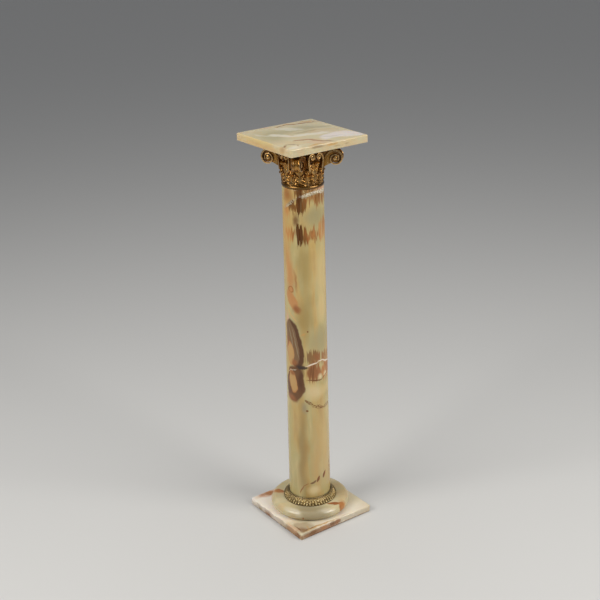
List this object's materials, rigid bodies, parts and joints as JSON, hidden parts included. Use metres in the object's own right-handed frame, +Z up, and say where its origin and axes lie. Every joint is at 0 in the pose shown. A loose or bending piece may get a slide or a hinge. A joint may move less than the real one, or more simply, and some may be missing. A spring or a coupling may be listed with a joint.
{
  "type": "column pedestal",
  "caption": "Square-topped column pedestal: round onyx shaft with a cast brass Corinthian capital, a brass foot wreath, a round base disc and a square plinth.",
  "frame": {"origin": "middle of the plinth's underside, on the floor", "axes": "+Z up along the shaft, X and Y along the sides of the plinth and the top slab"},
  "size_m": [0.2226, 0.2226, 1],
  "materials": {
    "plinth_onyx": "polished whitish cream onyx with brown veins along its edges",
    "disc_onyx": "polished pale green and beige onyx with red-brown patches",
    "wreath_brass": "cast brass, dull antique gold with darkened hollows",
    "shaft_onyx": "polished pale yellow-green onyx with brown and white veins",
    "capital_brass": "cast and gilt brass, polished on its high points and dark in its hollows",
    "slab_onyx": "polished grey-green onyx with lighter bands and tan veins"
  },
  "bodies": {
    "root": {"plinth": "plinth_onyx", "base_disc": "disc_onyx", "foot_wreath": "wreath_brass", "shaft": "shaft_onyx", "capital": "capital_brass", "top_slab": "slab_onyx"}
  },
  "joints": []
}
